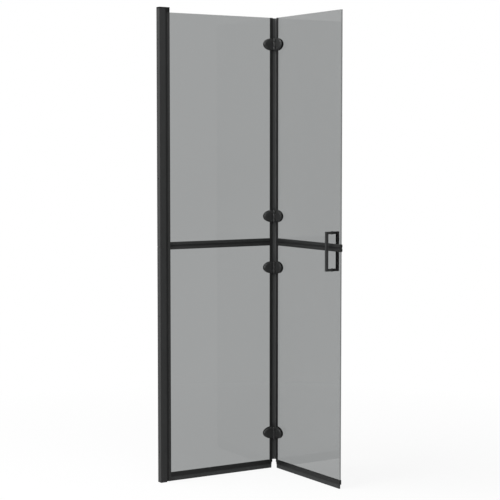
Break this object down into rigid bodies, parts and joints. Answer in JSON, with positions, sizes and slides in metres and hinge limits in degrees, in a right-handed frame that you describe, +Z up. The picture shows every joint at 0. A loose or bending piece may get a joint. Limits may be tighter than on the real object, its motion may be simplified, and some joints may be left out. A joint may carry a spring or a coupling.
{
  "type": "walk-in shower screen",
  "caption": "Black-framed folding walk-in shower screen: a smoked glass panel in a wall profile, with a hinged smoked glass panel that folds and carries a loop handle.",
  "frame": {"origin": "on the wall, at the foot of the wall profile, in line with the middle of the fixed glass", "axes": "+X away from the wall along the fixed panel, +Z up, -Y towards the inside of the fold"},
  "size_m": [0.583, 0.4949, 1.9],
  "materials": {
    "black_aluminium": "satin black powder coat",
    "black_hardware": "satin black coated zinc casting",
    "smoked_glass": "polished, grey tinted toughened glass",
    "black_rubber": "matt black soft seal",
    "black_plastic": "matt black moulding",
    "steel": "blackened stainless steel"
  },
  "bodies": {
    "wall": {"wall_channel_lower": "black_aluminium", "wall_channel_upper": "black_aluminium", "channel_top_cap": "black_plastic", "channel_bottom_cap": "black_plastic", "clamp_screws": "steel", "clamp_nuts": "steel"},
    "fixed_panel": {"glass_channel": "black_aluminium", "glazing_gaskets": "black_rubber", "fixed_upper_glass": "smoked_glass", "fixed_lower_glass": "smoked_glass", "fixed_mid_rail": "black_aluminium", "fixed_mid_rail_liners": "black_plastic", "fixed_bottom_rail": "black_aluminium", "fixed_bottom_rail_liner": "black_plastic", "fixed_bottom_sweep": "black_rubber", "fixed_seal_clip": "black_plastic", "fold_seal_web": "black_rubber", "hinge_1_fixed_leaf": "black_hardware", "hinge_1_fixed_back_plate": "black_hardware", "hinge_1_pin": "steel", "hinge_2_fixed_leaf": "black_hardware", "hinge_2_fixed_back_plate": "black_hardware", "hinge_2_pin": "steel", "hinge_3_fixed_leaf": "black_hardware", "hinge_3_fixed_back_plate": "black_hardware", "hinge_3_pin": "steel", "hinge_4_fixed_leaf": "black_hardware", "hinge_4_fixed_back_plate": "black_hardware", "hinge_4_pin": "steel", "fixed_hinge_gaskets": "black_rubber", "fixed_hinge_sleeves": "black_plastic", "fixed_hinge_screws": "steel", "hinge_washers": "black_plastic"},
    "door": {"door_upper_glass": "smoked_glass", "door_lower_glass": "smoked_glass", "door_mid_rail": "black_aluminium", "door_mid_rail_liners": "black_plastic", "door_mid_rail_end_cap": "black_plastic", "door_bottom_rail": "black_aluminium", "door_bottom_rail_liner": "black_plastic", "door_bottom_sweep": "black_rubber", "door_bottom_rail_end_cap": "black_plastic", "door_seal_clip": "black_plastic", "hinge_1_door_leaf": "black_hardware", "hinge_1_door_back_plate": "black_hardware", "hinge_2_door_leaf": "black_hardware", "hinge_2_door_back_plate": "black_hardware", "hinge_3_door_leaf": "black_hardware", "hinge_3_door_back_plate": "black_hardware", "hinge_4_door_leaf": "black_hardware", "hinge_4_door_back_plate": "black_hardware", "door_hinge_gaskets": "black_rubber", "door_hinge_sleeves": "black_plastic", "door_hinge_screws": "steel", "hinge_bushes": "black_plastic", "handle_inside": "black_hardware", "handle_outside": "black_hardware", "handle_studs": "steel", "handle_sleeves": "black_plastic", "handle_washers": "black_plastic"}
  },
  "joints": [
    {"name": "width_adjust", "type": "slide", "parent": "wall", "child": "fixed_panel", "axis": [1, 0, 0], "range_m": [-0.006, 0.006]},
    {"name": "fold", "type": "hinge", "parent": "fixed_panel", "child": "door", "pos_m": [0.537, -0.0135, 0.95], "axis": [0, 0, 1], "range_deg": [-87, 90], "deforming": ["fold_seal_web"]}
  ]
}
